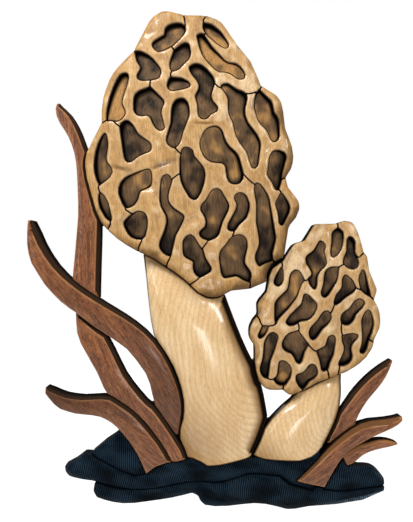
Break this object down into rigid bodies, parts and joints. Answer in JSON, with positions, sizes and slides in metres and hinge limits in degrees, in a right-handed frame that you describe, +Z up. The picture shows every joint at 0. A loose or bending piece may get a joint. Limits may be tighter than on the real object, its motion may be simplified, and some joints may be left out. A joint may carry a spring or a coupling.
{
  "type": "wooden intarsia wall plaque",
  "caption": "Flat wall plaque of joined wood pieces that picture two morel mushrooms with fretted caps, blades of grass and dark grooved ground, on a plywood back with a keyhole hanger.",
  "frame": {"origin": "the point on the plane of the wall where the nail holds the keyhole hanger", "axes": "+X to the viewer's right, +Z up, -Y out of the wall towards the viewer"},
  "size_m": [0.3788, 0.0273, 0.5003],
  "materials": {
    "plywood": "matt, unfinished",
    "steel": "zinc plated",
    "light_wood": "clear satin lacquer",
    "stained_wood": "dark stain under satin lacquer",
    "red_wood": "clear satin lacquer",
    "black_wood": "black stain under satin lacquer, fine parallel grooves"
  },
  "bodies": {
    "root": {"backing_board": "plywood", "hanger_plate": "steel", "hanger_screw_left": "steel", "hanger_screw_right": "steel", "large_cap_net": "light_wood", "large_cap_insert_01": "stained_wood", "large_cap_insert_02": "stained_wood", "large_cap_insert_03": "stained_wood", "large_cap_insert_04": "stained_wood", "large_cap_insert_05": "stained_wood", "large_cap_insert_06": "stained_wood", "large_cap_insert_07": "stained_wood", "large_cap_insert_08": "stained_wood", "large_cap_insert_09": "stained_wood", "large_cap_insert_10": "stained_wood", "large_cap_insert_11": "stained_wood", "large_cap_insert_12": "stained_wood", "large_cap_insert_13": "stained_wood", "large_cap_insert_14": "stained_wood", "large_cap_insert_15": "stained_wood", "large_cap_insert_16": "stained_wood", "large_cap_insert_17": "stained_wood", "large_cap_insert_18": "stained_wood", "large_cap_insert_19": "stained_wood", "large_cap_insert_20": "stained_wood", "large_cap_insert_21": "stained_wood", "large_cap_insert_22": "stained_wood", "large_cap_insert_23": "stained_wood", "large_cap_insert_24": "stained_wood", "large_cap_insert_25": "stained_wood", "large_cap_insert_26": "stained_wood", "large_cap_insert_27": "stained_wood", "small_cap_net": "light_wood", "small_cap_inserts": "stained_wood", "large_stem": "light_wood", "small_stem": "light_wood", "grass_right_middle": "red_wood", "grass_left_crossing": "red_wood", "grass_left_tall_upper": "red_wood", "grass_left_tall_lower": "red_wood", "grass_left_low": "red_wood", "grass_right_upper": "red_wood", "grass_right_low": "red_wood", "ground_middle": "black_wood", "ground_back_left": "black_wood", "ground_right": "black_wood", "ground_front": "black_wood"}
  },
  "joints": []
}
